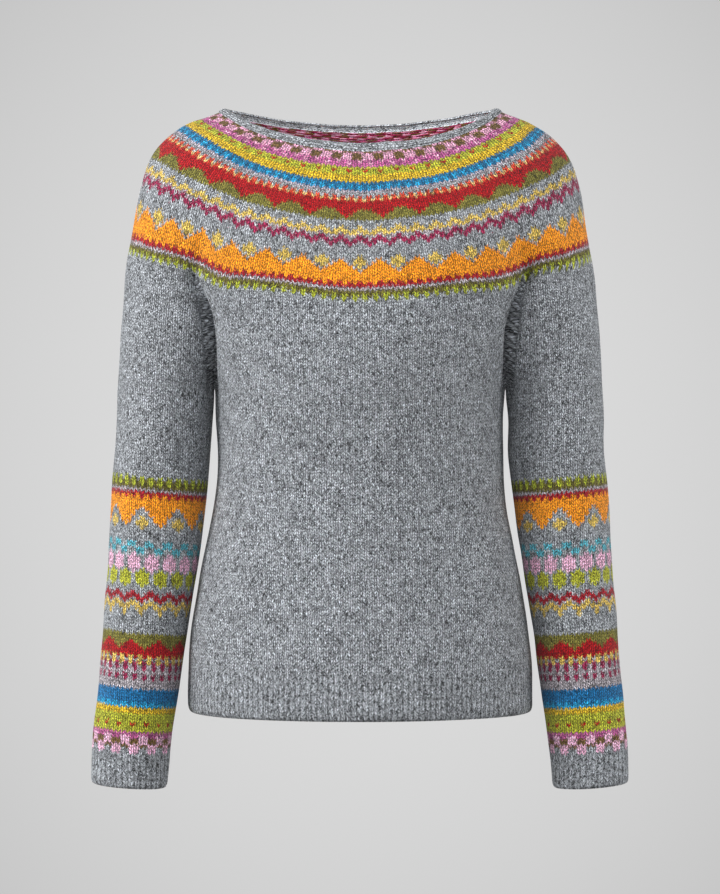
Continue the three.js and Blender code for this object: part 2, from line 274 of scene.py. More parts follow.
# Slow waves of the hand-washed cloth: length and direction of each, and its height
WAVES = [
    ((61, 0.3, 0.2, 1.0), 0.22), ((47, 1.0, -0.4, 0.3), 0.20), ((83, -0.6, 0.5, 0.9), 0.30),
    ((38, 0.8, 0.9, -0.6), 0.14), ((29, -0.9, 0.3, 0.7), 0.10), ((110, 0.9, 0.2, -0.5), 0.35),
]


def relief(points):
    """How far the cloth stands out of its smooth form at each point."""
    height = np.zeros(points.shape[:-1])
    for (length, *direction), size in WAVES:
        way = np.array(direction) / np.linalg.norm(direction)
        height += size * np.sin(points @ way * 2 * pi / length + length)
    for line, width, depth in CREASES:
        away = place = np.full(points.shape[:-1], np.inf)
        for i, (start, end) in enumerate(zip(line, line[1:])):
            start, along = np.array(start, float), np.subtract(end, start)
            share = np.clip((points - start) @ along / (along @ along), 0, 1)
            gap = np.linalg.norm(points - start - share[..., None] * along, axis=-1)
            place = np.where(gap < away, (i + share) / (len(line) - 1), place)
            away = np.minimum(gap, away)
        along_crease = np.sin(pi * mix(CREASE_START, CREASE_END, place))
        height -= depth * np.exp(-(away / width)**2) * along_crease
    return height


def directions_out(grid, above, below):
    """The directions out of the cloth. A grid has a neighbour's column on each side."""
    rows = np.concatenate((above[None], grid, below[None]))
    down = (rows[2:] - rows[:-2])[:, 1:-1]
    return unit(np.cross(down, grid[:, 2:] - grid[:, :-2]))


def trimmed(grid, ring):
    """Draws the borders in by half a seam gap. A ring has no side borders."""
    grid = grid.copy()
    for lines in (grid,) if ring else (grid, grid.swapaxes(0, 1)):
        for edge, inner in ((0, 1), (-1, -2)):
            lines[edge] += unit(lines[inner] - lines[edge]) * SEAM_GAP / 2
    return grid


ROUND_EDGE_ROWS = 5


def stitch_map(across, down):
    """The stitch and row numbers at each point of a grid, as pairs."""
    return np.stack(np.broadcast_arrays(across, down), axis=-1)


def cloth_wall(name, grid, thickness, stitches, materials, above=None, below=None, ring=False,
               round_top=False, round_end=False, shape=relief):
    """A closed wall of cloth behind a grid of points, with its stitches as a UV map.

    A wall is one loop of rows: down the outer face, round the lower edge, up the inner face
    and round the upper edge. A free edge is rounded, and an edge at a neighbour is square.
    """
    above = grid[0] if above is None else above
    below = grid[-1] if below is None else below
    out = directions_out(grid, above, below)
    outer = trimmed(grid[:, 1:-1], ring)
    outer = outer + out * shape(outer)[..., None]
    inner = outer - out * thickness
    loop, marks = [*outer], [*stitches]

    def add_rounded(face, other, edge, inwards):
        """Adds the rows of a rounded edge, from one face round to the other."""
        across, middle = (face[edge] - other[edge]) / 2, (face[edge] + other[edge]) / 2
        onward = outer[edge] - outer[inwards]
        length = np.linalg.norm(onward, axis=-1, keepdims=True)
        for turn in np.linspace(0, pi, ROUND_EDGE_ROWS + 2)[1:-1]:
            reach = thickness / 2 * sin(turn)
            loop.append(middle + across * cos(turn) + onward / length * reach)
            beyond = (stitches[edge] - stitches[inwards]) * reach / length.mean()
            marks.append(stitches[edge] + beyond)

    if round_end:
        add_rounded(outer, inner, -1, -2)
    inner_start = len(loop)
    loop += [*inner[::-1]]
    marks += [*stitches[::-1]]
    inner_end = len(loop) - 1
    if round_top:
        add_rounded(inner, outer, 0, 1)
        # The inner material, with the neckband's painted light, runs on round half of the rounded top
        # edge
        inner_end += ROUND_EDGE_ROWS // 2
    loop, marks = np.array(loop), np.array(marks)
    count, wide = loop.shape[:2]
    r, c = np.mgrid[0:count, 0:wide if ring else wide - 1]
    corners = [(r, c), ((r + 1) % count, c), ((r + 1) % count, c + 1), (r, c + 1)]
    polygons = np.stack([a * wide + b % wide for a, b in corners], axis=-1)
    polygons = polygons.reshape(-1, 4).tolist()
    uvs = np.stack([marks[a, b] for a, b in corners], axis=2).reshape(-1, 2)
    # The inner faces take the inside copy of the knit, painted lighter on the yoke and neckband and
    # darker on the body and sleeves
    inside = ((r >= inner_start) & (r < inner_end)).reshape(-1)
    if not ring:
        last = len(grid) - 1
        for side in (0, wide - 1):
            for i in range(last):
                behind = inner_start + last - i
                quad = [row * wide + side for row in (i, behind, behind - 1, i + 1)]
                polygons.append(quad if side == 0 else quad[::-1])
            if round_end:
                arc = [i * wide + side for i in range(last, inner_start + 1)]
                polygons.append(arc[::-1] if side == 0 else arc)
    mesh = bpy.data.meshes.new(name)
    mesh.from_pydata((loop.reshape(-1, 3) * MM).tolist(), [], polygons)
    layer = mesh.uv_layers.new(name="stitches")
    flat = np.zeros((len(mesh.loops), 2))
    flat[:len(uvs)] = uvs
    layer.data.foreach_set("uv", flat.reshape(-1))
    for material in materials:
        mesh.materials.append(material)
    index = np.zeros(len(polygons), int)
    index[:len(inside)] = inside * (len(materials) - 1)
    mesh.polygons.foreach_set("material_index", index)
    mesh.polygons.foreach_set("use_smooth", np.ones(len(polygons), bool))
    mesh.set_sharp_from_angle(angle=radians(60))
    mesh.validate()
    return placed(name, mesh)


class Shade:
    """A socket of a node tree. Python's operators on it add Math nodes."""

    def __init__(self, tree, socket=None):
        self.tree = tree
        self.socket = socket

    def node(self, kind, sockets=None, output=0, **settings):
        """Adds a node: its settings first, then the values or links of its sockets."""
        added = self.tree.nodes.new(kind)
        for name, value in settings.items():
            setattr(added, name, value)
        for name, value in (sockets or {}).items():
            if isinstance(value, Shade):
                self.tree.links.new(value.socket, added.inputs[name])
            else:
                added.inputs[name].default_value = value
        return Shade(self.tree, added.outputs[output] if added.outputs else None)

    def __getitem__(self, name):
        """Another output of the same node."""
        return Shade(self.tree, self.socket.node.outputs[name])

    def math(self, operation, *others):
        """A Math node on this value, then the others."""
        return self.node("ShaderNodeMath", dict(enumerate((self, *others))), operation=operation)

    def math_after(self, operation, other):
        """A Math node on another value, then this one."""
        return self.node("ShaderNodeMath", {0: other, 1: self}, operation=operation)

    __add__ = partialmethod(math, "ADD")
    __sub__ = partialmethod(math, "SUBTRACT")
    __mul__ = partialmethod(math, "MULTIPLY")
    __truediv__ = partialmethod(math, "DIVIDE")
    __pow__ = partialmethod(math, "POWER")
    __mod__ = partialmethod(math, "FLOORED_MODULO")
    __gt__ = partialmethod(math, "GREATER_THAN")
    __abs__ = partialmethod(math, "ABSOLUTE")
    __rsub__ = partialmethod(math_after, "SUBTRACT")
    __rpow__ = partialmethod(math_after, "POWER")
    floor = partialmethod(math, "FLOOR")

    def clamped(self, low, high):
        return self.math("MAXIMUM", low).math("MINIMUM", high)

    def blend(self, a, b):
        """A mix of two colours, with this value as the factor."""
        return self.node("ShaderNodeMix", {0: self, 6: a, 7: b}, 2, data_type="RGBA")

    def vector(self, x, y, z=0.0):
        return self.node("ShaderNodeCombineXYZ", {0: x, 1: y, 2: z})

    def parts(self):
        """A vector's or a colour's three values, as the outputs X, Y and Z."""
        return self.node("ShaderNodeSeparateXYZ", {0: self})

    def scattered(self):
        """Three chance values for this cell, from 0 to 1."""
        return self.node("ShaderNodeTexWhiteNoise", {"Vector": self}, 1).parts()

    def noise(self, scale, detail, roughness=0.5, output=0):
        """Soft noise at this place. Output 0 is one value, and output 1 is three of them."""
        return self.node("ShaderNodeTexNoise", {
            "Vector": self, "Scale": scale, "Detail": detail, "Roughness": roughness}, output)

    def ramp(self, stops):
        """The colour at this value's place among stops, where each lasts up to the next."""
        found = self.node("ShaderNodeValToRGB", {0: self})
        ramp = found.socket.node.color_ramp
        ramp.elements.remove(ramp.elements[1])
        ramp.interpolation = "CONSTANT"
        ramp.elements[0].position, ramp.elements[0].color = stops[0]
        for position, color in stops[1:]:
            ramp.elements.new(position).color = color
        return found

    def wool(self, color, light, height, distance, **sheen):
        """The material's surface: matt wool of a colour at a light, with its bumps."""
        color = self.node("ShaderNodeVectorMath", {0: color, "Scale": light}, operation="SCALE")
        bump = self.node("ShaderNodeBump", {"Distance": distance * MM, "Height": height})
        shader = self.node("ShaderNodeBsdfPrincipled", {
            "Base Color": color, "Roughness": 0.92, "Specular IOR Level": 0.12, "Normal": bump,
            **sheen})
        self.node("ShaderNodeOutputMaterial", {0: shader})


def new_material(name):
    """A material with no nodes yet, and a start for its nodes."""
    material = bpy.data.materials.new(name)
    material.use_nodes = True
    material.node_tree.nodes.clear()
    return material, Shade(material.node_tree)


def dye(red, green, blue, fleck):
    """A yarn's colour from its 0 to 255 swatch values, with how heathered it is."""
    linear = [((value / 255 + 0.055) / 1.055)**2.4 if value > 10 else value / 3294
              for value in (red, green, blue)]
    return (*linear, fleck)


# The yarns, each by the letter that stands for it in the charts
YARNS = {
    "h": dye(150, 154, 159, 1.0), "g": dye(168, 162, 168, 0.7), "w": dye(168, 158, 168, 0.6),
    "k": dye(222, 164, 190, 0.4), "p": dye(232, 182, 208, 0.4), "m": dye(182, 92, 146, 0.4),
    "b": dye(150, 40, 78, 0.35), "d": dye(165, 28, 42, 0.2), "R": dye(170, 18, 26, 0.25),
    "f": dye(210, 70, 46, 0.3), "O": dye(250, 156, 34, 0.2), "c": dye(222, 184, 118, 0.3),
    "s": dye(214, 184, 92, 0.35), "Y": dye(214, 178, 42, 0.35), "l": dye(176, 178, 54, 0.4),
    "i": dye(166, 174, 52, 0.4), "v": dye(122, 117, 52, 0.35), "e": dye(106, 98, 48, 0.35),
    "o": dye(112, 88, 50, 0.3), "q": dye(88, 172, 188, 0.4), "a": dye(38, 156, 204, 0.3),
    "z": dye(28, 110, 163, 0.25), "t": dye(30, 108, 152, 0.3),
}

# The yoke's chart, from the neckband down: stitches in the round, then row by row one
# repeat of the motif, starting at the stitch in the middle of the front.
YOKE_CHART = [
    (144, "kook kook okko okko okko kmmm mmkm m"),
    (159, "l lRl l Y Y"),
    (194, "Y t at at w"),
    (232, "h fh fc R R R vvvRRRRR vvvvRRRv vvvvvRvv v h h"),
    (232, "shhh sshs gsss bggg bbgb gbbb hhbh"),
    (248, "h h h shhhhhhh sshhOhhs sshOOOhs shOOOOOh hOOOOOOO O O O dO d g e ei hi"),
]
YOKE_ROWS = 54
# How many rows and yarns a colour ramp holds, and what its numbers are divided by
RAMP_ROWS = 32
YARN_SLOTS = 32
CODE_SIZE = 65536
REPEAT_SIZE = 16
ROUND_SIZE = 1024
SWATCHES = [(i / YARN_SLOTS, swatch) for i, swatch in enumerate(YARNS.values())]


def yarn_place(letter):
    """The place of a yarn's swatch in the ramp of all yarns."""
    return (list(YARNS).index(letter) + 0.5) / YARN_SLOTS


def chart_rows(chart):
    """A chart's rows, each as its stitches in the round and its text."""
    return [(stitches, text) for stitches, band in chart for text in band.split()]


def chart_ramps(chart, row):
    """Looks a row up in a chart: its yarns' places, its motifs' codes and its stitches.

    A motif is coded as a number with one binary digit for each stitch of the repeat.
    """
    rows = chart_rows(chart)
    while len(rows) % RAMP_ROWS:
        rows.append((rows[-1][0], "h"))
    found = None
    for first in range(0, len(rows), RAMP_ROWS):
        codes, yarns = [], []
        for i, (stitches, text) in enumerate(rows[first:first + RAMP_ROWS]):
            used = sorted(set(text), key=text.count)[::-1]
            used += [used[0]] * (3 - len(used))
            code = [sum(2**n for n, letter in enumerate(text) if letter == motif) / CODE_SIZE
                    for motif in used[1:]]
            place = i / RAMP_ROWS
            codes.append((place, (*code, len(text) / REPEAT_SIZE, stitches / ROUND_SIZE)))
            yarns.append((place, (*[yarn_place(yarn) for yarn in used], 1)))
        at = (row - first + 0.5) / RAMP_ROWS
        motifs = at.ramp(codes)
        parts = [motifs, motifs["Alpha"], at.ramp(yarns)]
        if found:
            later = row > first - 0.5
            found = [later.blend(a, b) for a, b in zip(found, parts)]
        else:
            found = parts
    return found


# How far a stitch's legs lean, in rows, and how far the yarn stands out
STITCH_LEAN = 0.9
STITCH_RELIEF = 0.8
# A rib's purl column, from where its trough starts, and the rows in which ribs fade in
PURL_START, KNIT_COLUMN, RIB_FADE_ROWS = 0.62, 0.7, 12
# A rib is painted a little lighter all over and darker in its purl troughs, as painted shade, and the
# painted shade in the gaps between its stitches is softer
RIB_SHADE, TROUGH_SHADE = 1.1, 0.07
RIB_GAP_SHADE_SCALE, RIB_GAP_SHADE_LOW = 0.62, 0.2
# The heathered wool: how much its legs, hairs, fibres and clouds differ in lightness, and
# how many of its stitches are pale or dark flecks, and by how much
LEGS, HAIRS, FIBRES, CLOUDS = 0.6, 2.0, 4.4, 0.7
DRIFT_SCALE, FUZZ_SCALE, CLOUD_SCALE = 0.33, 2.7, 0.16
PALE_FROM, PALE, DARK_FROM, DARK = 0.86, 0.36, 0.9, 0.34


# The lighting factor scales how light the whole material is: above 1 it is painted light, below 1
# painted shade, for lit and shaded copies of one knit
def knit_material(name, chart=None, in_the_round=False, purl=False, painted_lighting=1.0, rib=False):
    """Plain knitting: columns of V-shaped stitches, each in the yarn that its chart says."""
    material, start = new_material(name)
    place = start.node("ShaderNodeUVMap", uv_map="stitches").parts()
    across, row = place["X"], place["Y"]

    stitch_count = 1.0
    if chart and in_the_round:
        ramps = chart_ramps(chart, row.floor())
        stitch_count = (ramps[1] * ROUND_SIZE + 0.5).floor()
    wale = across * stitch_count + 0.5
    grid_place = start.vector(wale, row)
    # Knitted by hand: the columns and rows wander a little, and their edges are fuzzy
    drift = grid_place.noise(DRIFT_SCALE, 1.0, output=1).parts()
    fuzz = grid_place.noise(FUZZ_SCALE, 1.0, output=1).parts()
    wale = wale + (drift["X"] - 0.5) * 0.5 + (fuzz["X"] - 0.5) * 0.35
    row = row + (drift["Y"] - 0.5) * 0.5 + (fuzz["Y"] - 0.5) * 0.5
    column = wale.floor()
    from_middle = (wale - column) * 2 - 1
    side = abs(from_middle)
    if purl:
        slant = row * 2
        strand_row = slant.floor()
        leg = strand_row % 2
        bar = wale + leg * 0.5
        rise = slant - strand_row
        swell = (1 - (rise * 2 - 1)**2) * (1 - (((bar - bar.floor()) * 2 - 1)**2) * 0.75)
        cell = start.vector(bar.floor(), strand_row, leg)
    else:
        if rib:
            trough = (side - PURL_START) * 5
            trough = trough.clamped(0, 1) * (row / RIB_FADE_ROWS).clamped(0, 1)
            side = (side / KNIT_COLUMN).clamped(0, 1)
        slant = row + side * STITCH_LEAN
        stitch_row = slant.floor()
        leg = from_middle > 0
        rise = slant - stitch_row
        swell = (1 - (rise * 2 - 1)**2 * 0.85) * (1 - ((side * 2 - 1)**2) * 0.95)
        cell = start.vector(column, stitch_row, leg)
    plump = swell**0.5
    # Ribs: painted light all over, painted shade in the purl troughs, and softer painted shade between
    # stitches
    if rib:
        painted_lighting = RIB_SHADE - trough * TROUGH_SHADE
        swell = swell * RIB_GAP_SHADE_SCALE + RIB_GAP_SHADE_LOW

    chance = cell.scattered()
    hair = start.vector((wale * 5).floor(), (slant * 3.2).floor(), leg).scattered()
    fibre = start.vector(wale * 5.2, slant * 2.8, leg * 7).noise(1.0, 2.0, 0.7)
    cloud = grid_place.noise(CLOUD_SCALE, 3.0, 0.6)

    fleck = 1.0
    color = YARNS["h"][:3]
    if chart:
        # Loose hairs of each yarn lie over the edges of its neighbours
        near_column = (wale + (hair["Y"] - 0.5) * 0.5).floor()
        near_row = (slant + (hair["Z"] - 0.5) * 0.9).floor()
        codes, _, yarns = chart_ramps(chart, near_row)
        codes, yarns = codes.parts(), yarns.parts()
        repeat = (codes["Z"] * REPEAT_SIZE + 0.5).floor()
        digit = 0.5**(near_column % repeat) * CODE_SIZE
        motif_a = (codes["X"] * digit + 0.01).floor() % 2
        motif_b = (codes["Y"] * digit + 0.01).floor() % 2
        yarn = yarns["X"]
        yarn = yarn + (yarns["Y"] - yarn) * motif_a
        yarn = yarn + (yarns["Z"] - yarn) * motif_b
        color = yarn.ramp(SWATCHES)
        fleck = color["Alpha"]

    # Heathered wool: each leg of a stitch takes the light and dark fibres differently
    lively = fleck * 0.6 + 0.4
    streaks = (fibre - 0.5) * FIBRES + (hair["X"] - 0.5) * HAIRS
    light = (chance["X"] - 0.5) * LEGS * lively + streaks * (fleck * 0.4 + 0.6)
    light = light + (cloud - 0.5) * CLOUDS * lively + 1
    pale = (chance["Y"] > PALE_FROM) * PALE * fleck
    dark = (chance["Z"] > DARK_FROM) * DARK * fleck
    # Each leg is painted darker towards its edges and where the rows meet: painted shade in the gaps
    # between stitches
    light = ((light + pale - dark) * (swell * 1.25 + 0.3) * painted_lighting).clamped(0.08, 4.0)
    start.wool(color, light, plump + fibre * 0.35, STITCH_RELIEF,
               **{"Sheen Weight": 0.12, "Sheen Roughness": 0.6})
    return material


yoke_knit = knit_material("stranded_knit", YOKE_CHART, in_the_round=True)
# The yoke's inside is painted 2.8 times as light: painted light where it shows through the neck
yoke_inside = knit_material("stranded_knit_inside", YOKE_CHART, in_the_round=True, purl=True,
                            painted_lighting=2.8)


def beside_self(rings):
    """Rings with a neighbour's column before their first and after their last."""
    return np.concatenate((rings[:, -1:], rings, rings[:, :1]), axis=1)


# The neckband's seam, as a share of the yoke's rings: the band covers a row more in front
NECK_EDGE, SEAM, SEAM_IN_FRONT = -0.065, -0.018, -0.003
LAST_RING = 72
SPLIT_RINGS, YOKE_GRID_ROWS, NECK_GRID_ROWS = 37, 61, 13
ring_shares = np.linspace(NECK_EDGE, 1, LAST_RING + 1)
yoke_rings = np.array([yoke_ring(share) for share in ring_shares])
ring_columns = yoke_rings.shape[1]
split_rings = np.array([whole_ring(split_quarter, sin(drop * QUARTER))
                        for drop in np.linspace(0, 1, SPLIT_RINGS)])
all_rings = np.concatenate((yoke_rings, split_rings[1:]))
every_column = np.arange(ring_columns)
frontness = np.clip(-yoke_rings[0, :, 1] / -yoke_rings[0, :, 1].min(), 0, 1)**3
seam_shares = mix(SEAM, SEAM_IN_FRONT, frontness)

# A sweater is never put on quite straight. The rows slide down a little in front of both
# shoulders, and the yoke's lower edge strays from its line: how far, at places along X.
NECK_SLIDES = table(
    "along share", (-127, 0.021), (-110, 0.031), (-98, 0.034), (-80, 0.028), (-56, 0.012), (-30, 0),
    (25, 0), (41, 0.017), (64, 0.035), (87, 0.045), (112, 0.047), (127, 0.022),
)
EDGE_SLIDES = table(
    "along down", (-225, -2), (-166, -2), (-158, -3.8), (-151, -5.2), (-143, -3.8), (-136, -1),
    (-125, 0), (-98, -2), (-70, -2.8), (-45, -1.4), (-15, 1.2), (40, 0.8), (100, 1.4), (113, 2.4),
    (128, 3.3), (143, 2.4), (151, 3), (160, 5), (190, 6.4), (225, 6.2),
)
LEFT_SLIDE_ENDS = 0.42


def beside_front(ring, slides, values, reach):
    """A table's values for each column of a ring. They fade out past the sides, at the back."""
    found = np.interp(ring[:, 0], slides["along"], values)
    return found * np.clip(1 - ring[:, 1] / reach, 0, 1)


neck_slide = beside_front(yoke_rings[0], NECK_SLIDES, NECK_SLIDES["share"], 25)
neck_slide = neck_slide * LAST_RING / (1 - NECK_EDGE)
edge_slide = beside_front(split_rings[0], EDGE_SLIDES, EDGE_SLIDES["down"], 50)
ring_steps = step_lengths(all_rings[LAST_RING - 1:LAST_RING + 2])
edge_slide = edge_slide / np.where(edge_slide < 0, ring_steps[0], ring_steps[1])


def slid(shares, columns):
    """The places of shares of the yoke among all the rings, once its rows have slid."""
    at = np.asarray(columns).astype(int) % ring_columns
    down = np.clip(shares, 0, 1)
    left = yoke_rings[0, at, 0] < 0
    kept = np.where(left, np.clip(1 - shares / LEFT_SLIDE_ENDS, 0, 1)**0.8, 1 - down**2)
    straight = (shares - NECK_EDGE) * LAST_RING / (1 - NECK_EDGE)
    return straight + neck_slide[at] * kept + edge_slide[at] * down**2


def drawn(rings, places, columns):
    """Points of the cloth at places among its rings and at places round it, in columns."""
    columns = np.broadcast_to(columns, places.shape)
    ring = np.clip(places.astype(int), 0, len(rings) - 2)
    column = np.floor(columns).astype(int)
    down, across = (places - ring)[..., None], (columns - column)[..., None]
    near, far = [mix(rings[ring, at % ring_columns], rings[ring + 1, at % ring_columns], down)
                 for at in (column, column + 1)]
    return mix(near, far, across)


ring_rows = running(step_lengths(yoke_rings[:, 0]))
ring_rows -= np.interp(SEAM, ring_shares, ring_rows)
ring_rows *= YOKE_ROWS / ring_rows[-1]
yoke_shares = mix(seam_shares, 1, np.linspace(0, 1, YOKE_GRID_ROWS)[:, None])
neck_shares = mix(NECK_EDGE, seam_shares, np.linspace(0, 1, NECK_GRID_ROWS)[:, None])
yoke_grid, neck_grid = [beside_self(drawn(all_rings, slid(shares, every_column), every_column))
                        for shares in (yoke_shares, neck_shares)]
armhole_places = mix(slid(np.ones(ring_columns), every_column), len(all_rings) - 1,
                     np.linspace(0, 1, SPLIT_RINGS)[:, None])
armhole_rings = drawn(all_rings, armhole_places, every_column)
yoke_row_places = np.interp(yoke_shares, ring_shares, ring_rows)
yoke_row_places = np.concatenate((yoke_row_places, yoke_row_places[:, :1]), axis=1)

yoke = cloth_wall("yoke_knit", yoke_grid, KNIT,
                  stitch_map(np.linspace(0, 1, ring_columns + 1), yoke_row_places),
                  [yoke_knit, yoke_inside], ring=True,
                  above=neck_grid[-2], below=beside_self(armhole_rings[1:2])[0])
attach(yoke, "root")
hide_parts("yoke")

# ---- Floats ---------------------------------------------------------------------------
# In a row of two or three yarns, each yarn that is out of use passes loosely behind the
# others. These strands lie on the inside of the yoke, each caught in a stitch at its ends.

FLOAT_YARN, FLOAT_LIFT, FLOAT_CATCH = 1.0, 0.75, 0.6
FLOAT_POINTS, FLOAT_SPREAD = 5, 0.28
FLOAT_RELIEF, TWIST_SCALE = 0.3, 900
CARRIED_ROWS, CARRIED_YARN, CARRIED_CATCH = 10, "b", 4


def float_ends(chart):
    """Each float's row, the places round the yoke where it starts and ends, and its yarn."""
    for row, (stitches, text) in enumerate(chart_rows(chart)):
        if row < CARRIED_ROWS:
            # The red for the dots below is carried down behind the first rows, twice a row
            for catch in range(0, 2 * stitches, CARRIED_CATCH):
                start = (catch + row % 2 * 2) % stitches
                yield row, start / stitches, (start + CARRIED_CATCH) / stitches, CARRIED_YARN
        for yarn in sorted(set(text)):
            used = [i for i, letter in enumerate(text) if letter == yarn]
            for i, after in zip(used, used[1:] + [used[0] + len(text)]):
                if after - i < 2:
                    continue
                for repeat in range(0, stitches, len(text)):
                    yield row, (repeat + i) / stitches, (repeat + after) / stitches, yarn


strand_rows, strand_starts, strand_ends, strand_letters = [
    np.array(values) for values in zip(*float_ends(YOKE_CHART))]
strand_yarns = np.array([yarn_place(letter) for letter in strand_letters])
strand_count = len(strand_rows)
spread = np.random.default_rng(7).uniform(-FLOAT_SPREAD, FLOAT_SPREAD, strand_count)
strand_shares = np.interp(strand_rows + 0.45 + spread, ring_rows, ring_shares)
way = np.linspace(0, 1, FLOAT_POINTS)
strand_columns = mix(strand_starts[:, None], strand_ends[:, None], way) * ring_columns
strand_shares = np.broadcast_to(strand_shares[:, None], strand_columns.shape)
near_rings = all_rings[:LAST_RING + 4]
outwards = directions_out(beside_self(near_rings), beside_self(near_rings)[0],
                          beside_self(all_rings)[LAST_RING + 4])
inside_rings = near_rings + outwards * (relief(near_rings) - KNIT)[..., None]
strand_places = slid(strand_shares, strand_columns)
strand_points = drawn(inside_rings, strand_places, strand_columns)
strand_out = drawn(outwards, strand_places, strand_columns)
lift = mix(-FLOAT_CATCH, FLOAT_LIFT, np.sin(pi * way)**0.6)[:, None]
strand_points = (strand_points - strand_out * lift) * MM

float_mesh = bpy.data.meshes.new("yoke_floats")
firsts = np.arange(strand_count)[:, None] * FLOAT_POINTS + np.arange(FLOAT_POINTS - 1)
float_edges = np.stack((firsts, firsts + 1), axis=-1).reshape(-1, 2)
float_mesh.from_pydata(strand_points.reshape(-1, 3).tolist(), float_edges.tolist(), [])
yarn_of = float_mesh.attributes.new("yarn", "FLOAT", "POINT")
yarn_of.data.foreach_set("value", np.repeat(strand_yarns, FLOAT_POINTS))

float_paint, paint_start = new_material("float_yarn")
yarn = paint_start.node("ShaderNodeAttribute", output="Fac", attribute_name="yarn")
twist = paint_start.node("ShaderNodeTexCoord", output="Object").noise(TWIST_SCALE, 2.0)
# The floats are painted 1.5 times as light as the knitting, a painted light on the yoke's dim inside;
# the noise varies the yarn along its twist
paint_start.wool(yarn.ramp(SWATCHES), (twist - 0.5) * 2.4 + 1.5, twist, FLOAT_RELIEF)


def node_group(name, inputs):
    """An empty Geometry Nodes tree with named inputs, and the identifier of each."""
    group = bpy.data.node_groups.new(name, "GeometryNodeTree")
    face = group.interface
    face.new_socket("Geometry", in_out="OUTPUT", socket_type="NodeSocketGeometry")
    face.new_socket("Geometry", in_out="INPUT", socket_type="NodeSocketGeometry")
    identifiers = {}
    for label, kind in inputs.items():
        socket = face.new_socket(label, in_out="INPUT", socket_type=f"NodeSocket{kind}")
        identifiers[label] = socket.identifier
    return group, identifiers


strands, input_ids = node_group("strands", {"Thickness": "Float", "Material": "Material"})
source = Shade(strands).node("NodeGroupInput")
path = source.node("GeometryNodeMeshToCurve", {"Mesh": source})
round_yarn = source.node("GeometryNodeCurvePrimitiveCircle", {
    "Resolution": 4, "Radius": source["Thickness"] * 0.5})
tube = source.node("GeometryNodeCurveToMesh", {
    "Curve": path, "Profile Curve": round_yarn, "Fill Caps": True})
smooth = source.node("GeometryNodeSetShadeSmooth", {"Geometry": tube})
whole = source.node("GeometryNodeRealizeInstances", {"Geometry": smooth})
painted = source.node("GeometryNodeSetMaterial", {
    "Geometry": whole, "Material": source["Material"]})
source.node("NodeGroupOutput", {"Geometry": painted})

# The plain mesh that the tree makes of the floats' lines
floats = placed("yoke_floats", float_mesh)
modifier = floats.modifiers.new("strands", "NODES")
modifier.node_group = strands
modifier[input_ids["Thickness"]] = FLOAT_YARN * MM
modifier[input_ids["Material"]] = float_paint
graph = bpy.context.evaluated_depsgraph_get()
plain_floats = bpy.data.meshes.new_from_object(floats.evaluated_get(graph))
floats.modifiers.clear()
floats.data = plain_floats
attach(floats, "root")

# ---- Neckband -------------------------------------------------------------------------
# A narrow band in the heather wool, knitted sideways so that its stitches lie along the
# edge, then joined on round the neck. It rolls a little at its free edge.

NECKBAND_KNIT, NECKBAND_ROLL = 3.2, 1.3
BAND_STITCH, BAND_RIDGE = 4.4, 0.3

neck_knit = knit_material("neckband_knit")
# The band's inside is painted 3.2 times as light: painted light
neck_inside = knit_material("neckband_knit_inside", painted_lighting=3.2)


def rolled(points):
    """The relief of the neckband: rolled over its width, with three ridges round it."""
    share = np.linspace(0, 1, points.shape[0])[:, None]
    ridges = np.abs(np.cos(3 * pi * share))
    return relief(points) + NECKBAND_ROLL * np.sin(pi * share)**0.6 + BAND_RIDGE * (ridges - 0.5)


def row_numbers(grid, row_height=ROW_HEIGHT):
    """The rows knitted above each row of a grid, from the mean distance between them."""
    return running(step_lengths(grid).mean(axis=1)) / row_height


# Its rows run round the neck, and its stitch columns lie across the band
neck_around = running(step_lengths(neck_grid[0, 1:]))
neck_across = row_numbers(neck_grid, BAND_STITCH)
neckband = cloth_wall("neckband_knit", neck_grid, NECKBAND_KNIT,
                      stitch_map(neck_across[:, None], neck_around / ROW_HEIGHT),
                      [neck_knit, neck_inside], ring=True, round_top=True, below=yoke_grid[1],
                      shape=rolled)
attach(neckband, "root")
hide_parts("neckband")

# ---- Front and back -------------------------------------------------------------------
# The plain heather body, knitted in one yarn from the yoke to the hem. The front and back
# meet at the side seams, and run down to a deep single rib.

RIB_TOP_HEIGHT, HEM_HEIGHT = -537, -582
BODY_SIDES = table(
    "height reach",
    (-272, 139.8), (-300, 138.2), (-335, 137.0), (-378, 139.6), (-416, 146.4),
    (-455, 154.4), (-493, 161.0), (-530, 164.4), (-582, 165.3),
)
BODY_STITCH = 4.47
BODY_GRID_ROWS = (74, 22)

heather_knit = knit_material("heather_knit")
# The inside is painted a little darker: painted shade
heather_inside = knit_material("heather_knit_inside", purl=True, painted_lighting=0.8)


def body_row(face, height):
    """A body row below the armholes, from side seam to side seam."""
    hem_share = (UNDERARM_HEIGHT - height) / (UNDERARM_HEIGHT - HEM_HEIGHT)
    middle_height = height - UNDERARM_SAG * (1 - hem_share)**2
    depth = read_table(BODY_DEPTHS, middle_height)[FACES[face]]
    end = (read_table(BODY_SIDES, height)["reach"], 0, height)
    half = body_half_row(end, face * depth, middle_height, 0)
    if face < 0:
        return np.concatenate((mirrored(half)[:-1], half))
    return np.concatenate((half[::-1], mirrored(half[::-1])[1:]))


def beside_seams(row):
    """A row between two seams, which goes on past them as its own mirror image."""
    beyond = row[[1, -2]] * (1, -1, 1) + row[[0, -1]] * (0, 2, 0)
    return np.concatenate((beyond[:1], row, beyond[1:]))


def stretch(rings, first, steps):
    """The stretch of each ring that belongs to one piece, with its neighbours' columns."""
    return rings[:, (first - 1 + np.arange(steps + 3)) % ring_columns]


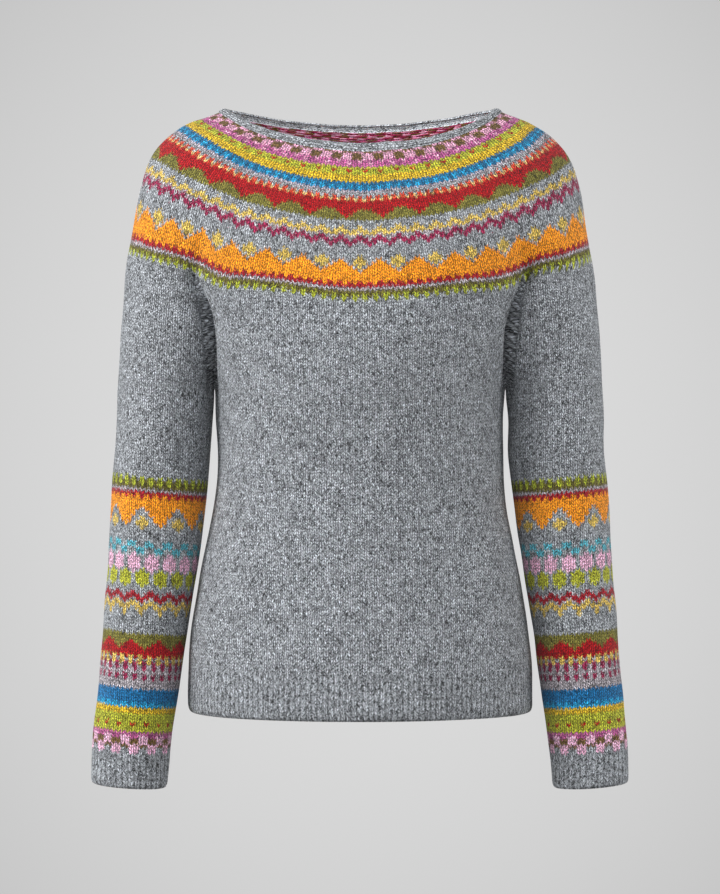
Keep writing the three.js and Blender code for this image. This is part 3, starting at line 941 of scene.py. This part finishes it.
def beside_armhole(first, steps):
    """The rows beside the armholes. At the underarm a piece has only its own seams."""
    rows = stretch(armhole_rings, first, steps)
    rows[-1] = beside_seams(rows[-1][1:-1])
    return rows


def rows_down(beside, row_at, top, end, row_counts):
    """The rows of a piece, beside the armholes and below them, and those of its rib."""
    levels = np.linspace(UNDERARM_HEIGHT, top, row_counts[0])[1:]
    # Closer together towards the edge
    rib_levels = mix(top, end + KNIT / 2, 1 - (1 - np.linspace(0, 1, row_counts[1]))**1.6)
    below, rib_rows = [np.array([beside_seams(row_at(height)) for height in heights])
                       for heights in (levels, rib_levels)]
    return np.concatenate((beside, below)), rib_rows


def stitches_from(grid, middle_column, stitch):
    """Stitch numbers along each row of a grid, counted both ways from one column."""
    lengths = running(step_lengths(grid, axis=1))
    return (lengths - lengths[:, middle_column, None]) / stitch


HEM_RIB = 5.3
RIB_FADE = 22.0
RIB_HEIGHT = 0.10
HEM_TURN = (8, 3.5)


def ribbed(around, pitch, turn):
    """The relief of a single rib: a knit column out, a purl column in. Its edge turns in."""
    high, deep = turn

    def shape(points):
        fade = np.clip(np.abs(points[..., 2] - points[:1, :, 2]) / RIB_FADE, 0, 1)
        wave = np.cos(2 * pi * around / pitch)
        near_edge = np.clip(1 - np.abs(points[..., 2] - points[-1:, :, 2]) / high, 0, 1)
        turned = deep * (1 - np.sqrt(1 - near_edge**2 * 0.98))
        stands = np.sign(wave) * np.abs(wave)**0.8 - 0.1
        return relief(points) + RIB_HEIGHT * fade * stands - turned
    return shape


def knitted_piece(name, grid, first, middle, below, first_row, materials):
    """A knitted piece whose stitch columns run straight and end at its seams."""
    inner = grid[:, 1:-1]
    places = row_numbers(inner) + first_row
    stitches = stitch_map(stitches_from(inner, middle, BODY_STITCH), places[:, None])
    yoke_row = stretch(yoke_grid[-2:-1, 1:-1], first, 2 * middle)[0]
    return cloth_wall(name, grid, KNIT, stitches, materials, above=yoke_row, below=below)


TORSO_WIDE, ARM_WIDE = 2 * TORSO_STEPS, 2 * ARM_STEPS
RIB_REFINE = 5


def refined(grid, times):
    """More columns in each row of a grid, by even steps between its points."""
    fine = np.arange((grid.shape[1] - 1) * times + 1) / times
    low = np.minimum(fine.astype(int), grid.shape[1] - 2)
    share = (fine - low)[None, :, None]
    return grid[:, low] * (1 - share) + grid[:, low + 1] * share


def rib_piece(name, rows, middle, pitch, turn):
    """A ribbed border, with each rib's relief in its surface and a rounded free edge."""
    grid = refined(rows, RIB_REFINE)[:, RIB_REFINE - 1:1 - RIB_REFINE]
    inner = grid[:, 1:-1]
    around = stitches_from(inner, middle * RIB_REFINE, 1.0)
    places = row_numbers(inner)
    return cloth_wall(name, grid, KNIT, stitch_map(around / pitch, places[:, None]),
                      [rib_material], round_end=True, shape=ribbed(around, pitch, turn))


rib_material = knit_material("rib_knit", rib=True)

for name, face, first in (("front", -1, -TORSO_STEPS), ("back", 1, TORSO_STEPS + ARM_WIDE)):
    rows, rib_rows = rows_down(beside_armhole(first, TORSO_WIDE), partial(body_row, face),
                               RIB_TOP_HEIGHT, HEM_HEIGHT, BODY_GRID_ROWS)
    piece = knitted_piece(f"{name}_knit", rows, first, TORSO_STEPS, rib_rows[1], YOKE_ROWS,
                          [heather_knit, heather_inside])
    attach(piece, "root")
    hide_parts(name)
    hem = rib_piece(f"hem_{name}_knit", rib_rows, TORSO_STEPS, HEM_RIB, HEM_TURN)
    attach(hem, "root")
    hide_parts(f"hem_{name}")

# ---- Sleeves --------------------------------------------------------------------------
# Each sleeve starts from the yoke's live stitches, in plain heather to the elbow, then in
# bands of stranded motifs down to a cuff in single rib. Its seam runs under the arm.

CUFF_TOP_HEIGHT, CUFF_END_HEIGHT = -616, -649
CUFF_RIB = 5.8
CUFF_TURN = (6, 2.5)
CUFF_OUTER_TILT = 0.6
SLEEVE_GRID_ROWS = (100, 17)

# The sleeve's chart, from the first row of motifs down to the cuff. It is not knitted by a
# count of stitches in the round: its columns are a stitch wide and run straight to the seam.
SLEEVE_CHART = [
    (0, "h ih ie ie e g d dO O O O OOOOOOhO OOOOOhhh OOOOOhhh hOOOhhsh hOOOhsss hhOhhsss hhhhhhsh"),
    (0, "h h h h qhhq qhhq hqqh hqqh phhh pphp pphp pphp pphp phlh hlll hlll hlll hlll hhlh h"),
    (0, "dhhh ddhd hddd shdh sshs hsss hhsh hhsh h h h h h h v v Rvvvvv RRvvvR RRRvRR R R"),
    (0, "sR sh sb gb gb g gb gb g g g z z z z za a Y Y l l l lRl l l m pmmp poop poop oppo hpph hpph"),
]
sleeve_chart_rows = len(chart_rows(SLEEVE_CHART)) - 1

sleeve_knit = knit_material("sleeve_knit", SLEEVE_CHART)
# The inside is painted a little darker: painted shade
sleeve_inside = knit_material("sleeve_knit_inside", SLEEVE_CHART, purl=True, painted_lighting=0.8)


def sleeve_row(sign, height):
    """A sleeve row below the underarm, opened at its inner seam. The right one is mirrored."""
    level = read_table(SLEEVE_LEVELS, height)
    middle_y = (level["front"] + level["back"]) / 2
    half_depth = (level["back"] - level["front"]) / 2
    end = (level["inner"], middle_y, height - SLEEVE_TILT)
    outer_tilt = np.interp(height, (CUFF_END_HEIGHT, UNDERARM_HEIGHT),
                           (CUFF_OUTER_TILT, SLEEVE_TILT))
    quarters = [sleeve_quarter_row(end, pi, face * half_depth, middle_y, level["outer"],
                                   height + outer_tilt, 0) for face in (-1, 1)]
    row = np.concatenate((quarters[0], quarters[1][::-1][1:]))
    return mirrored(row) if sign < 0 else row


falls = np.sin(np.linspace(0, 1, SPLIT_RINGS) * QUARTER)
right_first = TORSO_STEPS + ARM_WIDE + TORSO_WIDE
for side, sign, first in (("left", 1, TORSO_STEPS), ("right", -1, right_first)):
    beside = beside_armhole(first, ARM_WIDE)
    beside[:, (1, -2), 0] += (sign * SEAM_GAP * falls)[:, None]

    rows, rib_rows = rows_down(beside, partial(sleeve_row, sign), CUFF_TOP_HEIGHT,
                               CUFF_END_HEIGHT, SLEEVE_GRID_ROWS)
    first_row = sleeve_chart_rows + 1 - row_numbers(rows[:, 1:-1])[-1]
    piece = knitted_piece(f"sleeve_{side}_knit", rows, first, ARM_STEPS, rib_rows[1], first_row,
                          [sleeve_knit, sleeve_inside])
    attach(piece, "root")
    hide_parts(f"sleeve_{side}")
    cuff = rib_piece(f"cuff_{side}_knit", rib_rows, ARM_STEPS, CUFF_RIB, CUFF_TURN)
    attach(cuff, "root")
    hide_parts(f"cuff_{side}")

# ---- Studio ---------------------------------------------------------------------------
# A pale round room with a plain floor and a soft corner between floor and wall, a large
# soft key from the front left, a weaker fill and two rims, and a long lens set level.

ROOM_RADIUS, ROOM_TOP, FLOOR_HEIGHT, CORNER = 6.0, 6.0, -2.2, 0.8
ROOM_SIDES, ROOM_MIDDLE = 96, 0.02
# The wall and floor glow though they are no lamp, a painted light: brightest behind the sweater,
# falling off up, down and to both sides
WALL_LIGHT, WALL_BRIGHT_HEIGHT = 0.722, -0.35

corner = [(ROOM_RADIUS - CORNER + CORNER * sin(turn), FLOOR_HEIGHT + CORNER * (1 - cos(turn)))
          for turn in np.linspace(0, QUARTER, 9)]
profile = [(ROOM_MIDDLE, FLOOR_HEIGHT), *corner, (ROOM_RADIUS, ROOM_TOP), (ROOM_MIDDLE, ROOM_TOP)]
room_turns = [2 * pi * i / ROOM_SIDES for i in range(ROOM_SIDES)]
room_points = [(radius * cos(turn), radius * sin(turn), height)
               for radius, height in profile for turn in room_turns]
room_faces = [(r * ROOM_SIDES + i, r * ROOM_SIDES + (i + 1) % ROOM_SIDES,
               (r + 1) * ROOM_SIDES + (i + 1) % ROOM_SIDES, (r + 1) * ROOM_SIDES + i)
              for r in range(len(profile) - 1) for i in range(ROOM_SIDES)]
room_faces.append(tuple(range(ROOM_SIDES)))
room_mesh = bpy.data.meshes.new("room")
room_mesh.from_pydata(room_points, [], room_faces)
room_mesh.polygons.foreach_set("use_smooth", np.ones(len(room_faces), bool))
room = placed("room", room_mesh)
room.visible_shadow = False
room.visible_diffuse = False

wall, wall_start = new_material("wall_glow")
wall_place = wall_start.node("ShaderNodeTexCoord", output="Object").parts()
fall_off = (wall_place["Z"] - WALL_BRIGHT_HEIGHT)**2 * 0.055
fall_off = fall_off + (wall_place["X"]**2 * 0.075).clamped(0, 0.12)
glow = (WALL_LIGHT - fall_off * 0.9).clamped(0.3, 0.8)
glow = wall_start.vector(glow, glow, glow)
# An emission, so the room's brightness is painted light
wall_shader = wall_start.node("ShaderNodeEmission", {"Color": glow})
wall_start.node("ShaderNodeOutputMaterial", {0: wall_shader})
room_mesh.materials.append(wall)

AIM = Vector((0, 0, -0.30))
# White soft boxes, which all point at the middle of the sweater
LIGHTS = [
    # name, place, size, power
    ("key", (-3.4, -1.8, 1.1), (1.6, 2.0), 148),
    ("top", (0, -2.6, 2.7), (2.2, 1.6), 48),
    ("front", (0, -3.6, 0.3), (2.0, 2.0), 19),
    ("fill", (3.4, -1.8, 0.4), (1.6, 2.0), 57),
    ("rim_left", (-3.0, 0.9, 0.0), (0.8, 2.4), 20),
    ("rim_right", (3.0, 0.9, 0.0), (0.8, 2.4), 20),
    ("behind", (0.6, 3.8, 0.6), (2.0, 2.0), 60),
]
for name, place, size, power in LIGHTS:
    lamp = bpy.data.lights.new(name, "AREA")
    lamp.shape = "RECTANGLE"
    lamp.size, lamp.size_y = size
    lamp.energy = power
    light = placed(name, lamp)
    light.location = place
    light.rotation_euler = (AIM - Vector(place)).to_track_quat("-Z", "Y").to_euler()
    light.visible_camera = False

world = bpy.data.worlds.new("studio")
world.use_nodes = True
background = world.node_tree.nodes["Background"].inputs
background["Color"].default_value = (1, 1, 1, 1)
background["Strength"].default_value = 0.18
bpy.context.scene.world = world
bpy.context.scene.view_settings.view_transform = "Standard"

camera_data = bpy.data.cameras.new("camera")
camera_data.sensor_width = 36
camera_data.lens = 125.6
camera = placed("camera", camera_data)
camera.location = (0, -3.0, -0.327)
camera.rotation_euler = (radians(90), 0, 0)
bpy.context.scene.camera = camera
